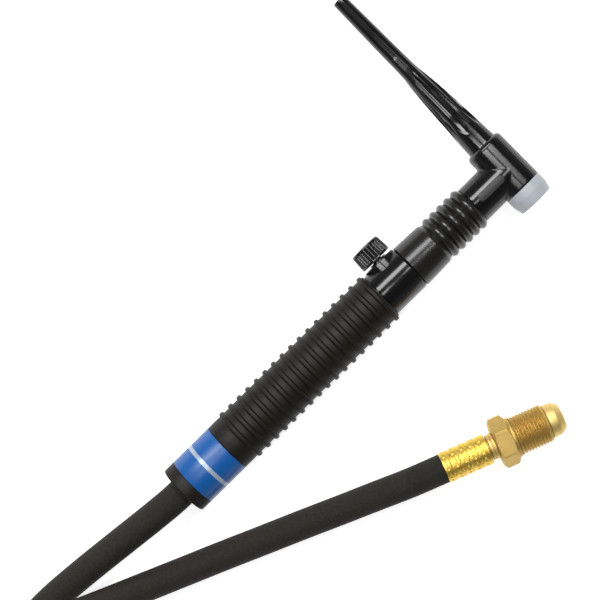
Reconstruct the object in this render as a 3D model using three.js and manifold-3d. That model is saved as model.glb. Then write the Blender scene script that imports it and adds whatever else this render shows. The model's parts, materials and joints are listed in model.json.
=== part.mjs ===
// A gas-cooled TIG welding torch with a flexible neck, a gas valve, a long back cap and its hose.
// Millimetres, +Z up. The torch lies on its side on a bench at z = 0: +X runs along the handle to
// the head and +Y along the head to the tip of the back cap. The origin is on the bench, under the
// middle of the torch without its hose.

import * as THREE from 'three';
import { mergeVertices } from 'three/addons/utils/BufferGeometryUtils.js';
import Module from 'manifold-3d';

const wasm = await Module();
wasm.setup();

// Sizes that drive the rest. Stations along the handle are measured from its rear face, and
// stations along the head from the handle's axis.
const GAP = 0.3; // between pieces that touch
const ROUND = 20; // sides of an ordinary round piece
const SMALL_ROUND = 16;

const RIB_RADIUS = 16.15;
const HANDLE_LENGTH = 152.5;
const HANDLE_RADIUS = 14.9;
const HANDLE_BORE = 12.2;
const RIB_COUNT = 17;
const RIB_PITCH = 6.6;
const FIRST_RIB = 44.5;
const RIB_FOOT = 1.6;
const RIB_TOP = 0.7;
const BAND_START = 7.3;
const BAND_END = 33.8;

const HOUSING_RADIUS = 13.6;
const HOUSING_END = 175;
const VALVE_X = 164.8;
const BOSS_TOP = 14.4;
const KNOB_BASE = 15.8;
const KNOB_TOP = 26.4;
const FLUTES_ON_KNOB = 24;

const CUFF_END = 194.5;
const BELLOWS_END = 223;
const BELLOWS_RIDGES = 5;
const BELLOWS_PITCH = 5.36;
const FLEX_START = 197.3; // the annealed stretch of the neck tube
const FLEX_END = 219.7;

const HEAD_X = 250.2;
const HEAD_RADIUS = 11.55;
const NECK_RADIUS = 11.6;
const HEAD_FRONT = -12;
const HEAD_BACK = 20.1;
const GASKET_FRONT = -22.8;
const CAP_TIP = 132.2;
const FLUTES_ON_CAP = 5;
const COLLET_BORE = 5.45;
const GAS_BORE = 2.4;

const HOSE_RADIUS = 8.3;
const CORE_RADIUS = 4.5;
const LEAD_START = 25; // the free hose is counted from here, inside the handle's mouth

const CONNECTOR_X = 110.6; // where the hose enters the connector's ferrule
const CONNECTOR_Y = -92.2;
const CONNECTOR_TURN = THREE.MathUtils.degToRad(-20.5);
const HEX_FLATS = 25.4;
const THREAD_RADIUS = 11.1;
const THREAD_PITCH = 25.4 / 14;
const FERRULE_LENGTH = 27.6;

const COIL_X = -272.2;
const COIL_Y = -45.5;
const COIL_OUTER = 106.5; // middle of the outermost turn
const TURN_PITCH = 16.8;
const TURNS_ACROSS = 2.5;
const TIE_THICKNESS = 1.2;
const TIE_WIDTH = 20;

const TORCH_X = -(HEAD_X + NECK_RADIUS) / 2;
const TORCH_Y = -(GASKET_FRONT + CAP_TIP) / 2;

const FINISHES = {
  grip_black: { color: 0x24211f, roughness: 0.62, metalness: 0 },
  gloss_black: { color: 0x100f10, roughness: 0.16, metalness: 0 },
  label_blue: { color: 0x0a5aaf, roughness: 0.35, metalness: 0 },
  gasket_white: { color: 0xc3ccd1, roughness: 0.4, metalness: 0 },
  nut_brass: { color: 0xb89257, roughness: 0.38, metalness: 1 },
  ferrule_brass: { color: 0xe0ab35, roughness: 0.22, metalness: 1 },
  copper: { color: 0xb5653c, roughness: 0.35, metalness: 1 },
  hose_rubber: { color: 0x2a2725, roughness: 0.7, metalness: 0 },
  seal_rubber: { color: 0x161616, roughness: 0.6, metalness: 0 },
  tie_fabric: { color: 0x1b1b1c, roughness: 0.9, metalness: 0 },
};

// ---- Helpers ----

// Six times the volume inside a closed mesh, negative when its faces point inwards.
function signedVolume(geometry) {
  const corner = [new THREE.Vector3(), new THREE.Vector3(), new THREE.Vector3()];
  const { index, attributes } = geometry;
  let total = 0;
  for (let i = 0; i < index.count; i += 3) {
    corner.forEach((c, k) => c.fromBufferAttribute(attributes.position, index.getX(i + k)));
    total += corner[0].dot(corner[1].cross(corner[2]));
  }
  return total;
}

// Merges shared vertices, drops the flat triangles at the poles and turns the faces outwards.
function closed(geometry) {
  geometry.deleteAttribute('normal');
  geometry.deleteAttribute('uv');
  const merged = mergeVertices(geometry, 1e-4);
  const kept = [];
  for (let i = 0; i < merged.index.count; i += 3) {
    const [a, b, c] = [0, 1, 2].map((k) => merged.index.getX(i + k));
    if (a !== b && b !== c && c !== a) kept.push(a, b, c);
  }
  merged.setIndex(kept);
  if (signedVolume(merged) < 0) {
    for (let i = 0; i < kept.length; i += 3) [kept[i], kept[i + 1]] = [kept[i + 1], kept[i]];
    merged.setIndex(kept);
  }
  return merged;
}

// Turns a profile of [radius, station] corners round +Y.
function turnedY(profile, sides = ROUND) {
  return closed(new THREE.LatheGeometry(profile.map(([r, s]) => new THREE.Vector2(r, s)), sides));
}

// The same about +X. A corner stays at the top and the bottom of each ring.
function turnedX(profile, sides = ROUND) {
  return turnedY(profile, sides).rotateZ(-Math.PI / 2);
}

// The profile of a straight tube, or of a rod when the bore is 0.
function tube(outer, bore, start, end) {
  return [[bore, start], [outer, start], [outer, end], [bore, end], [bore, start]];
}

function toManifold(geometry) {
  const vertProperties = new Float32Array(geometry.attributes.position.array);
  const triVerts = new Uint32Array(geometry.index.array);
  return new wasm.Manifold(new wasm.Mesh({ numProp: 3, vertProperties, triVerts }));
}

function fromManifold(solid) {
  const mesh = solid.getMesh();
  const geometry = new THREE.BufferGeometry();
  geometry.setAttribute('position', new THREE.BufferAttribute(mesh.vertProperties, 3));
  geometry.setIndex([...mesh.triVerts]);
  return geometry;
}

// Joins some geometries, then cuts others out of them.
function carve(joined, removed = []) {
  let solid = toManifold(joined[0]);
  for (const piece of joined.slice(1)) solid = solid.add(toManifold(piece));
  for (const piece of removed) solid = solid.subtract(toManifold(piece));
  return fromManifold(solid);
}

// Cuts a flute pattern into a piece turned round +Y: depth(angle, radius, station) is taken off.
function fluted(geometry, depth) {
  const { position } = geometry.attributes;
  for (let i = 0; i < position.count; i += 1) {
    const [x, y, z] = [position.getX(i), position.getY(i), position.getZ(i)];
    const radius = Math.hypot(x, z);
    if (radius < 1e-6) continue;
    const scale = 1 - depth(Math.atan2(x, z), radius, y) / radius;
    position.setXYZ(i, x * scale, y, z * scale);
  }
  return geometry;
}

// A band at a set distance round a convex polygon whose corners run anticlockwise.
function bandRound(corners, distance, ArcPath = THREE.Path) {
  const path = new ArcPath();
  const count = corners.length;
  const outward = (from, to) => Math.atan2(to[1] - from[1], to[0] - from[0]) - Math.PI / 2;
  corners.forEach((corner, i) => {
    const before = outward(corners[(i + count - 1) % count], corner);
    let after = outward(corner, corners[(i + 1) % count]);
    while (after < before) after += 2 * Math.PI;
    path.absarc(corner[0], corner[1], distance, before, after, false);
  });
  path.closePath();
  return path;
}

function polygon(sides, radius) {
  const shape = new THREE.Shape();
  for (let i = 0; i < sides; i += 1) {
    const angle = ((i + 0.5) * 2 * Math.PI) / sides;
    shape[i ? 'lineTo' : 'moveTo'](radius * Math.cos(angle), radius * Math.sin(angle));
  }
  return shape;
}

// A hexagonal bar along +X with flats at the top and the bottom.
function hexPrism(flats, start, end) {
  const options = { depth: end - start, bevelEnabled: false };
  const prism = closed(new THREE.ExtrudeGeometry(polygon(6, flats / Math.sqrt(3)), options));
  return prism.rotateY(Math.PI / 2).translate(start, 0, 0);
}

const torch = new THREE.Group(); // handle, neck and head, on the handle's axis
const bench = new THREE.Group(); // what lies on the bench beside it
const connector = new THREE.Group(); // along the connector's own axis
const object = new THREE.Group();

function add(group, name, finish, geometry) {
  const material = new THREE.MeshStandardMaterial(FINISHES[finish]);
  material.name = finish;
  const mesh = new THREE.Mesh(geometry, material);
  mesh.name = name;
  group.add(mesh);
}

// ---- Handle ----

function handleGrip() {
  const mouth = 9.2;
  const recess = HANDLE_RADIUS - 0.6;
  const profile = [
    [mouth, 0], [HANDLE_RADIUS - 0.9, 0], [HANDLE_RADIUS, 0.9],
    [HANDLE_RADIUS, BAND_START - GAP], [recess, BAND_START - GAP],
    [recess, BAND_END + GAP], [HANDLE_RADIUS, BAND_END + GAP],
  ];
  for (let i = 0; i < RIB_COUNT; i += 1) {
    const middle = FIRST_RIB + i * RIB_PITCH;
    const taper = (0.2 * i) / (RIB_COUNT - 1);
    const land = HANDLE_RADIUS - 0.1 - taper;
    const crest = RIB_RADIUS - taper;
    profile.push([land, middle - RIB_FOOT], [crest, middle - RIB_TOP]);
    profile.push([crest, middle + RIB_TOP], [land, middle + RIB_FOOT]);
  }
  profile.push([HANDLE_RADIUS, HANDLE_LENGTH], [HANDLE_BORE, HANDLE_LENGTH]);
  profile.push([HANDLE_BORE, 6], [mouth, 4], [mouth, 0]);
  return turnedX(profile);
}

function labelBand() {
  return turnedX(tube(HANDLE_RADIUS, HANDLE_RADIUS - 0.3, BAND_START, BAND_END));
}

// ---- Gas valve ----

function valveHousing() {
  const edge = 0.8;
  const shell = turnedX([
    [0, 134], [HANDLE_BORE - GAP, 134], [HANDLE_BORE - GAP, HANDLE_LENGTH + GAP],
    [HOUSING_RADIUS - edge, HANDLE_LENGTH + GAP], [HOUSING_RADIUS, HANDLE_LENGTH + GAP + edge],
    [HOUSING_RADIUS, HOUSING_END - GAP - edge / 2],
    [HOUSING_RADIUS - edge / 2, HOUSING_END - GAP], [0, HOUSING_END - GAP],
  ]);
  const boss = turnedY([[0, 0], [9.8, 0], [9.8, BOSS_TOP - 0.8], [9, BOSS_TOP], [0, BOSS_TOP]]);
  boss.translate(VALVE_X, 0, 0);
  const bodyBore = turnedX([[0, 133], [8.9, 133], [8.9, HOUSING_END], [0, HOUSING_END]]);
  const glandBore = turnedY([[0, 0], [5.6, 0], [5.6, BOSS_TOP + 1], [0, BOSS_TOP + 1]]);
  glandBore.translate(VALVE_X, 0, 0);
  return carve([shell, boss], [bodyBore, glandBore]);
}

function valveBody() {
  const body = turnedX([
    [0, 107.3], [6.3, 107.3], [6.3, 124], [8.5, 124], [8.5, 172],
    [6.5, 172], [6.5, FLEX_START - GAP], [0, FLEX_START - GAP],
  ]);
  const gasBore = turnedX([[0, 100], [GAS_BORE, 100], [GAS_BORE, 200], [0, 200]], SMALL_ROUND);
  const stemBore = turnedY([[0, 0], [2.4, 1.2], [3.4, 2.6], [3.4, 10], [0, 10]], SMALL_ROUND);
  stemBore.translate(VALVE_X, 0, 0);
  return carve([body], [gasBore, stemBore]);
}

function valveGland() {
  return turnedY(tube(5.3, 3.4, 8.8, BOSS_TOP + 0.9)).translate(VALVE_X, 0, 0);
}

function valveStem() {
  const groove = 10;
  return turnedY([
    [0, -1.4], [1, -1.4], [1.6, 1.5], [3, 3.2], [3, groove - 0.9], [2, groove - 0.9],
    [2, groove + 0.9], [3, groove + 0.9], [3, 24], [0, 24],
  ]).translate(VALVE_X, 0, 0);
}

function ring(radius, thickness, station) {
  const torus = new THREE.TorusGeometry(radius, thickness, 6, SMALL_ROUND);
  return closed(torus).rotateX(Math.PI / 2).translate(0, station, 0);
}

function valveKnob() {
  const bore = 3.3;
  const knob = turnedY([
    [0, 24.3], [bore, 24.3], [bore, KNOB_BASE], [9.1, KNOB_BASE], [9.7, KNOB_BASE + 0.6],
    [9.1, 25], [8.2, 25.7], [4.4, KNOB_TOP - 0.2], [0, KNOB_TOP],
  ], 2 * FLUTES_ON_KNOB);
  const depth = (angle, radius) => (radius > 9 ? 0.35 * (1 - Math.cos(FLUTES_ON_KNOB * angle)) : 0);
  return fluted(knob, depth).translate(VALVE_X, 0, 0);
}

// ---- Neck ----

function neckBoot() {
  const bore = 8.3;
  const valley = 11.7;
  const ridge = 13.55;
  const start = HOUSING_END + GAP;
  const profile = [
    [bore, start], [13.1, start], [13.7, start + 0.7], [13.1, CUFF_END - 0.9],
    [12.4, CUFF_END], [valley, CUFF_END + 0.7],
  ];
  const first = CUFF_END + 4.1;
  for (let i = 0; i < BELLOWS_RIDGES; i += 1) {
    const middle = first + i * BELLOWS_PITCH;
    profile.push([ridge, middle - 0.8], [ridge, middle + 0.8], [valley, middle + BELLOWS_PITCH / 2]);
  }
  profile.pop();
  profile.push([valley, BELLOWS_END - 0.2], [bore, BELLOWS_END - 0.2], [bore, start]);
  return turnedX(profile);
}

function neckTube() {
  return turnedX(tube(5.2, GAS_BORE, FLEX_START, FLEX_END), SMALL_ROUND);
}

// ---- Head ----

function headJacket() {
  const start = BELLOWS_END + 0.1;
  const neck = turnedX([[0, start], [NECK_RADIUS, start], [NECK_RADIUS, HEAD_X], [0, HEAD_X]]);
  const round = 3;
  const barrel = [[0, HEAD_FRONT], [HEAD_RADIUS - 0.4, HEAD_FRONT], [HEAD_RADIUS, HEAD_FRONT + 0.4]];
  for (let i = 0; i <= 4; i += 1) {
    const angle = (i * Math.PI) / 8;
    const radius = HEAD_RADIUS - round + round * Math.cos(angle);
    barrel.push([radius, HEAD_BACK - round + round * Math.sin(angle)]);
  }
  barrel.pop();
  barrel.push([9.5, HEAD_BACK], [0, HEAD_BACK]);
  const head = turnedY(barrel).translate(HEAD_X, 0, 0);
  const neckBore = turnedX([[0, 200], [5.5, 200], [5.5, HEAD_X], [0, HEAD_X]], SMALL_ROUND);
  const headBore = turnedY([
    [0, -20], [8.3, -20], [8.3, 12.1], [9.35, 12.1], [9.35, 30], [0, 30],
  ]).translate(HEAD_X, 0, 0);
  return carve([neck, head], [neckBore, headBore]);
}

function headBody() {
  const body = turnedY([[0, -16], [7.6, -16], [7.6, -11.7], [8, -11.7], [8, 11.8], [0, 11.8]]);
  body.translate(HEAD_X, 0, 0);
  const start = FLEX_END + GAP;
  const spigot = turnedX([[0, start], [5.2, start], [5.2, HEAD_X], [0, HEAD_X]], SMALL_ROUND);
  const gasBore = turnedX([[0, 200], [GAS_BORE, 200], [GAS_BORE, HEAD_X], [0, HEAD_X]], SMALL_ROUND);
  const colletBore = turnedY([[0, -20], [COLLET_BORE, -20], [COLLET_BORE, 20], [0, 20]]);
  colletBore.translate(HEAD_X, 0, 0);
  return carve([body, spigot], [gasBore, colletBore]);
}

function cupGasket() {
  const back = HEAD_FRONT - GAP;
  return turnedY([
    [6.3, GASKET_FRONT], [9.9, GASKET_FRONT], [10.35, GASKET_FRONT + 0.5],
    [NECK_RADIUS, GASKET_FRONT + 5.6], [NECK_RADIUS, back], [7.9, back],
    [7.9, -16.3], [6.3, -16.3], [6.3, GASKET_FRONT],
  ]).translate(HEAD_X, 0, 0);
}

// ---- Back cap ----

// The cap flares from a slim stem to a broad base, as [distance from the tip, radius].
const CAP_FLARE = [
  [112.1, 8.9], [101, 8.3], [94, 7.9], [87, 7.6], [81, 7.25],
  [74, 6.8], [67, 6.2], [61, 5.6], [55.5, 4.9],
];
const CAP_GROOVE = 14.5;

// The stem's radius, which the flutes follow down into the flare.
function capStem(fromTip) {
  return 4.1 + 0.0146 * fromTip;
}

function backCap() {
  const bore = GAS_BORE;
  const profile = [
    [0, 126], [bore, 126], [bore, 19.3], [4.3, 19.3], [4.3, 12.3], [8.5, 12.3], [8.9, 12.8],
    [8.9, CAP_GROOVE - 1.1], [7, CAP_GROOVE - 1.1], [7, CAP_GROOVE + 1.1], [8.9, CAP_GROOVE + 1.1],
  ];
  for (const [fromTip, radius] of CAP_FLARE) profile.push([radius, CAP_TIP - fromTip]);
  profile.push([capStem(30), CAP_TIP - 30], [4.1, CAP_TIP - 0.8], [3.4, CAP_TIP], [0, CAP_TIP]);
  const depth = (angle, radius, station) => {
    const fromTip = CAP_TIP - station;
    const end = THREE.MathUtils.smoothstep(103 - fromTip, 0, 14);
    const across = 0.5 + 0.5 * Math.cos(FLUTES_ON_CAP * (angle + Math.PI / 12));
    const flare = Math.max(radius - capStem(fromTip), 0);
    return radius > 4.4 ? flare * end * THREE.MathUtils.smoothstep(across, 0.15, 0.75) : 0;
  };
  return fluted(turnedY(profile, 30), depth).translate(HEAD_X, 0, 0);
}

function capInsert() {
  return turnedY([
    [GAS_BORE, 4], [5.1, 4], [5.1, 12], [4, 12], [4, 19], [GAS_BORE, 19], [GAS_BORE, 4],
  ]).translate(HEAD_X, 0, 0);
}

// ---- Hose end inside the handle ----

function cableFerrule() {
  return turnedX(tube(9.4, HOSE_RADIUS + GAP, 74, 97));
}

function cableNipple() {
  return turnedX([
    [GAS_BORE, 70.3], [CORE_RADIUS, 70.3], [CORE_RADIUS, 104], [6.2, 104], [6.2, 107],
    [GAS_BORE, 107], [GAS_BORE, 70.3],
  ]);
}

function cableNut() {
  const bore = turnedX([[0, 90], [4.9, 90], [4.9, 103.6], [6.7, 103.6], [6.7, 130], [0, 130]]);
  return carve([hexPrism(16, 99, 118)], [bore]);
}

// ---- Connector for the welding machine ----

function connectorFerrule() {
  const radius = 8.65;
  const profile = [[4.9, 0], [radius - 0.4, 0], [radius, 0.5]];
  for (const waist of [5.4, 10.6, 15.8, 21]) {
    profile.push([radius, waist - 1.5], [radius - 0.7, waist], [radius, waist + 1.5]);
  }
  profile.push([radius, FERRULE_LENGTH - GAP], [4.9, FERRULE_LENGTH - GAP], [4.9, 0]);
  return turnedX(profile);
}

function connectorNipple() {
  return turnedX([
    [GAS_BORE, 0.4], [4.6, 0.4], [4.6, FERRULE_LENGTH], [7.3, FERRULE_LENGTH], [7.3, 31.2],
    [5.6, 31.2], [5.6, 62.9], [9.45, 62.9], [9.45, 67.2], [8.9, 69.2], [7.6, 70.8], [6.3, 71.4],
    [3, 71.4], [GAS_BORE, 70.2], [GAS_BORE, 0.4],
  ]);
}

function connectorNut() {
  const hexStart = 31.5;
  const hexEnd = 41.1;
  const corner = HEX_FLATS / Math.sqrt(3) + 0.2;
  const chamfer = turnedX([
    [0, hexStart], [HEX_FLATS / 2 - 0.3, hexStart], [corner, hexStart + 1.3],
    [corner, hexEnd - 1.3], [HEX_FLATS / 2 - 0.3, hexEnd], [0, hexEnd],
  ]);
  const hex = toManifold(hexPrism(HEX_FLATS, hexStart, hexEnd)).intersect(toManifold(chamfer));
  const root = THREAD_RADIUS - 1.1;
  const threadEnd = 62.6;
  const profile = [[0, hexEnd - 1], [root, hexEnd - 1]];
  for (let crest = 43.8; crest < threadEnd - 0.9; crest += THREAD_PITCH) {
    profile.push([root, crest - THREAD_PITCH / 2], [THREAD_RADIUS, crest]);
  }
  profile.push([root, threadEnd], [0, threadEnd]);
  const thread = toManifold(turnedX(profile));
  const bore = toManifold(turnedX([[0, 20], [6, 20], [6, 70], [0, 70]]));
  return fromManifold(hex.add(thread).subtract(bore));
}

// ---- Hose ----

const COIL_FLOOR = TIE_THICKNESS + GAP; // the ties pass under the coil
const COIL_INNER = COIL_OUTER - TURN_PITCH * TURNS_ACROSS;
const LAYERS = [0, 1, 2].map((i) => COIL_FLOOR + TURN_PITCH / 2 + i * TURN_PITCH);
const COIL_CORNERS = [
  [COIL_INNER, LAYERS[0]], [COIL_OUTER, LAYERS[0]], [COIL_OUTER, LAYERS[2]], [COIL_INNER, LAYERS[1]],
];

// The outer shape of the wound hose: a low ring, highest at its rim.
function coilSolid(swell = 0) {
  const outline = bandRound(COIL_CORNERS, TURN_PITCH / 2 + swell).getPoints(1);
  const ringShape = closed(new THREE.LatheGeometry(outline, 36));
  return ringShape.rotateX(Math.PI / 2).translate(COIL_X, COIL_Y, 0);
}

// From inside the handle's mouth, down to the bench, and round to the coil.
const LEAD_ROUTE = [
  [LEAD_START, 0, 16.15], [10, 0, 16.15], [-5, 0, 16.1], [-20, 1.1, 15.4], [-40, 3.1, 13.2],
  [-60, 5.1, 10.9], [-78, 6.7, 9.3], [-94, 7.7, 8.8], [-106, 7.4, 8.7], [-121, 3.7, 8.7],
  [-136, -3.8, 8.8], [-149, -15.2, 9.1], [-158.6, -29.2, 9.5], [-164.7, -44.5, 9.8],
  [-166.5, -54.8, 9.9],
];

// From the top of the coil, over the lead in a long low hump, and along the bench.
const RETURN_ROUTE = [
  [-231.2, 52.8, 43.5], [-203.5, 41.3, 43.2], [-180.4, 31.6, 40.6], [-157.4, 22, 36],
  [-134.3, 12.4, 30.7], [-114.9, 4.3, 26.9], [-95.5, -3.7, 24], [-76.4, -12.4, 20.6],
  [-55.8, -21.5, 17], [-32.9, -31.6, 13.4], [-9.9, -41.6, 10.5], [13.1, -51.7, 8.8],
  [33.7, -60.5, 8.5], [54.3, -69.4, 9], [74, -77.6, 10.7], [91.5, -84.9, 12.5], [103.1, -89.4, 12.7],
];
const HOSE_END = [
  CONNECTOR_X - 2 * GAP * Math.cos(CONNECTOR_TURN),
  CONNECTOR_Y - 2 * GAP * Math.sin(CONNECTOR_TURN),
  HEX_FLATS / 2,
];

function hoseAlong(route, steps) {
  const path = new THREE.CatmullRomCurve3(route.map((p) => new THREE.Vector3(...p)));
  const options = { steps, extrudePath: path, bevelEnabled: false };
  return closed(new THREE.ExtrudeGeometry(polygon(10, HOSE_RADIUS), options));
}

function hoseInHandle() {
  return turnedX(tube(HOSE_RADIUS, CORE_RADIUS + GAP, LEAD_START + GAP, 98));
}

// The copper rope that carries the current inside the hose.
function powerCore() {
  const start = LEAD_START + GAP;
  return turnedX([[0, start], [CORE_RADIUS, start], [CORE_RADIUS, 70], [0, 70]], SMALL_ROUND);
}

function coilTie(degrees) {
  const angle = THREE.MathUtils.degToRad(degrees);
  const outer = bandRound(COIL_CORNERS, TURN_PITCH / 2 + GAP + TIE_THICKNESS, THREE.Shape);
  outer.holes.push(bandRound(COIL_CORNERS, TURN_PITCH / 2 + GAP));
  const options = { depth: TIE_WIDTH, bevelEnabled: false, curveSegments: 2 };
  const strap = closed(new THREE.ExtrudeGeometry(outer, options));
  strap.translate(0, 0, -TIE_WIDTH / 2).rotateX(Math.PI / 2).rotateZ(angle);
  strap.translate(COIL_X, COIL_Y, 0);
  return carve([strap], [coilSolid(GAP)]);
}

// ---- Assembly ----

add(torch, 'handle_grip', 'grip_black', handleGrip());
add(torch, 'label_band', 'label_blue', labelBand());

add(torch, 'valve_housing', 'gloss_black', valveHousing());
add(torch, 'valve_body', 'nut_brass', valveBody());
add(torch, 'valve_gland', 'nut_brass', valveGland());
add(torch, 'valve_stem', 'nut_brass', valveStem());
add(torch, 'stem_o_ring', 'seal_rubber', ring(2.65, 0.45, 10).translate(VALVE_X, 0, 0));
add(torch, 'valve_knob', 'gloss_black', valveKnob());

add(torch, 'neck_boot', 'gloss_black', neckBoot());
add(torch, 'neck_tube', 'copper', neckTube());

add(torch, 'head_jacket', 'gloss_black', headJacket());
add(torch, 'head_body', 'copper', headBody());
add(torch, 'cup_gasket', 'gasket_white', cupGasket());
add(torch, 'back_cap', 'gloss_black', backCap());
add(torch, 'cap_insert', 'nut_brass', capInsert());
add(torch, 'cap_o_ring', 'seal_rubber', ring(8.1, 0.75, CAP_GROOVE).translate(HEAD_X, 0, 0));

add(torch, 'cable_nut', 'nut_brass', cableNut());
add(torch, 'cable_nipple', 'nut_brass', cableNipple());
add(torch, 'cable_ferrule', 'ferrule_brass', cableFerrule());
add(torch, 'hose_in_handle', 'hose_rubber', hoseInHandle());
add(torch, 'power_core', 'copper', powerCore());

add(bench, 'hose_lead', 'hose_rubber', carve([hoseAlong(LEAD_ROUTE, 20)], [coilSolid(GAP)]));
add(bench, 'hose_coil', 'hose_rubber', coilSolid());
const returnTube = hoseAlong([...RETURN_ROUTE, HOSE_END], 30);
add(bench, 'hose_return', 'hose_rubber', carve([returnTube], [coilSolid(GAP)]));
add(bench, 'coil_tie_1', 'tie_fabric', coilTie(105));
add(bench, 'coil_tie_2', 'tie_fabric', coilTie(285));

add(connector, 'connector_ferrule', 'ferrule_brass', connectorFerrule());
add(connector, 'connector_nipple', 'ferrule_brass', connectorNipple());
add(connector, 'connector_nut', 'nut_brass', connectorNut());

connector.position.set(CONNECTOR_X, CONNECTOR_Y, HEX_FLATS / 2);
connector.rotation.z = CONNECTOR_TURN;
torch.position.z = RIB_RADIUS;
bench.add(torch, connector);
bench.position.set(TORCH_X, TORCH_Y, 0);
object.add(bench);

export default object;
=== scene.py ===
import json
import math

import bpy
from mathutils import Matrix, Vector


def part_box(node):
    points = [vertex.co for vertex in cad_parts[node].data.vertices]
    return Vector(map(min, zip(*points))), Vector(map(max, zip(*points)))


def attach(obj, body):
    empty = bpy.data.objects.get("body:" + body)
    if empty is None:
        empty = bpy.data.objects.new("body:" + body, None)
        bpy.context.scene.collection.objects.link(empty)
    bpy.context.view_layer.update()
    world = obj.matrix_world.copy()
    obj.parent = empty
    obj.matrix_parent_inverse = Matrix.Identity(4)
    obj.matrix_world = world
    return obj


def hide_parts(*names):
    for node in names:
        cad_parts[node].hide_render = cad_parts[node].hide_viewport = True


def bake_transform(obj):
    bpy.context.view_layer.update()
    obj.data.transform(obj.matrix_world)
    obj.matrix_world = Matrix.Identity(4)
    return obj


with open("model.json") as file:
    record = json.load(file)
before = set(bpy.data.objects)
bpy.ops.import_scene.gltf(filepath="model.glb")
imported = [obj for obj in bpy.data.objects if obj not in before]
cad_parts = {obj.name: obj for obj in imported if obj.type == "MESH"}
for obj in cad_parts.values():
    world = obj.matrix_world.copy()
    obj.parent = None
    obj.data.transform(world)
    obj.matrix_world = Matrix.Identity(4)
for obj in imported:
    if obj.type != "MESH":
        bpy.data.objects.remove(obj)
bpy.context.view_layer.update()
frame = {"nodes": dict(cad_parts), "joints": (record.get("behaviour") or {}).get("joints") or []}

# ---- Camera ----
# The torch lies on its side, and the camera looks straight down on it from about 0.9 m with a
# long lens, turned so that the handle climbs from the lower left to the upper right.

MM = 0.001
grip_low, grip_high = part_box("handle_grip")
handle_rear = Vector((grip_low.x, (grip_low.y + grip_high.y) / 2, (grip_low.z + grip_high.z) / 2))

camera_data = bpy.data.cameras.new("camera")
camera_data.lens = 100
camera_data.sensor_width = 36
camera_data.dof.use_dof = False
camera = bpy.data.objects.new("camera", camera_data)
bpy.context.scene.collection.objects.link(camera)
bpy.context.scene.camera = camera
view_width = 330 * MM
camera.location = handle_rear + Vector((119.3 * MM, 29.6 * MM, view_width * camera_data.lens / 36))
camera.rotation_euler = (0, 0, math.radians(-44.57))


# ---- Hose ----
# One length of 5/8 in black rubber hose carries the gas and, inside it, the copper power rope.
# It leaves the handle's mouth, drops to the bench, is wound up for storage, and comes back over
# itself to the connector. The rubber was cured in a cloth wrap that left a fine weave on it.

class Link:
    """A shader socket whose value can be used in a Python expression."""

    def __init__(self, finish, socket):
        self.finish = finish
        self.socket = socket

    def maths(self, operation, first, second=0.0):
        return self.finish.node("ShaderNodeMath", {"operation": operation}, {0: first, 1: second})

    def __add__(self, other):
        return self.maths("ADD", self, other)

    def __sub__(self, other):
        return self.maths("SUBTRACT", self, other)

    def __rsub__(self, other):
        return self.maths("SUBTRACT", other, self)

    def __mul__(self, other):
        return self.maths("MULTIPLY", self, other)

    def __lt__(self, other):
        return self.maths("LESS_THAN", self, other)

    def sine(self):
        return self.maths("SINE", self)

    def size(self):
        return self.maths("ABSOLUTE", self)

    __radd__ = __add__
    __rmul__ = __mul__


# The colour sockets of a Mix node, which share their names with its other sockets.
MIX_FIRST = 6
MIX_SECOND = 7
MIX_RESULT = 2


class Finish:
    """A material on one principled shader, built up node by node."""

    def __init__(self, name, colour, roughness, metallic=0.0, **constants):
        self.material = bpy.data.materials.new(name)
        self.material.use_nodes = True
        self.tree = self.material.node_tree
        self.shader = self.tree.nodes["Principled BSDF"]
        self.set("Base Color", colour)
        self.set("Roughness", roughness)
        self.set("Metallic", metallic)
        for socket, value in constants.items():
            self.set(socket.replace("_", " "), value)

    def plug(self, socket, value):
        if isinstance(value, Link):
            self.tree.links.new(value.socket, socket)
        elif isinstance(value, tuple) and len(value) == 3 and socket.type == "RGBA":
            socket.default_value = (*value, 1)
        else:
            socket.default_value = value

    def set(self, socket, value):
        self.plug(self.shader.inputs[socket], value)

    def node(self, kind, settings, sockets, output=0):
        made = self.tree.nodes.new(kind)
        for name, value in settings.items():
            setattr(made, name, value)
        for name, value in sockets.items():
            self.plug(made.inputs[name], value)
        return Link(self, made.outputs[output])

    def place(self, kind="Object"):
        return self.node("ShaderNodeTexCoord", {}, {}, kind)

    def part_of(self, vector, letter):
        return self.node("ShaderNodeSeparateXYZ", {}, {"Vector": vector}, letter)

    def along(self, axis):
        """How far a point lies along an axis from the frame's origin."""
        dot = {"operation": "DOT_PRODUCT"}
        return self.node("ShaderNodeVectorMath", dot, {0: self.place(), 1: tuple(axis)}, "Value")

    def noise(self, grain, detail=2.0):
        """Noise from 0 to 1 whose grain has a size in metres."""
        scaled = {"Vector": self.place(), "Scale": (1 / grain, 1 / grain, 1 / grain)}
        vector = self.node("ShaderNodeMapping", {}, scaled)
        return self.node("ShaderNodeTexNoise", {}, {"Vector": vector, "Scale": 1.0, "Detail": detail})

    def mixed(self, mask, colour, other):
        """The first colour where the mask is 0 and the other where it is 1."""
        sockets = {0: mask, MIX_FIRST: colour, MIX_SECOND: other}
        return self.node("ShaderNodeMix", {"data_type": "RGBA"}, sockets, MIX_RESULT)

    def bumped(self, height, depth, strength=1.0):
        """Raises the surface by a height from 0 to 1 times a depth in metres."""
        sockets = {"Height": height, "Distance": depth, "Strength": strength}
        self.set("Normal", self.node("ShaderNodeBump", {}, sockets))


THREADS_ROUND = 60
THREADS_ALONG = 5200


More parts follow.
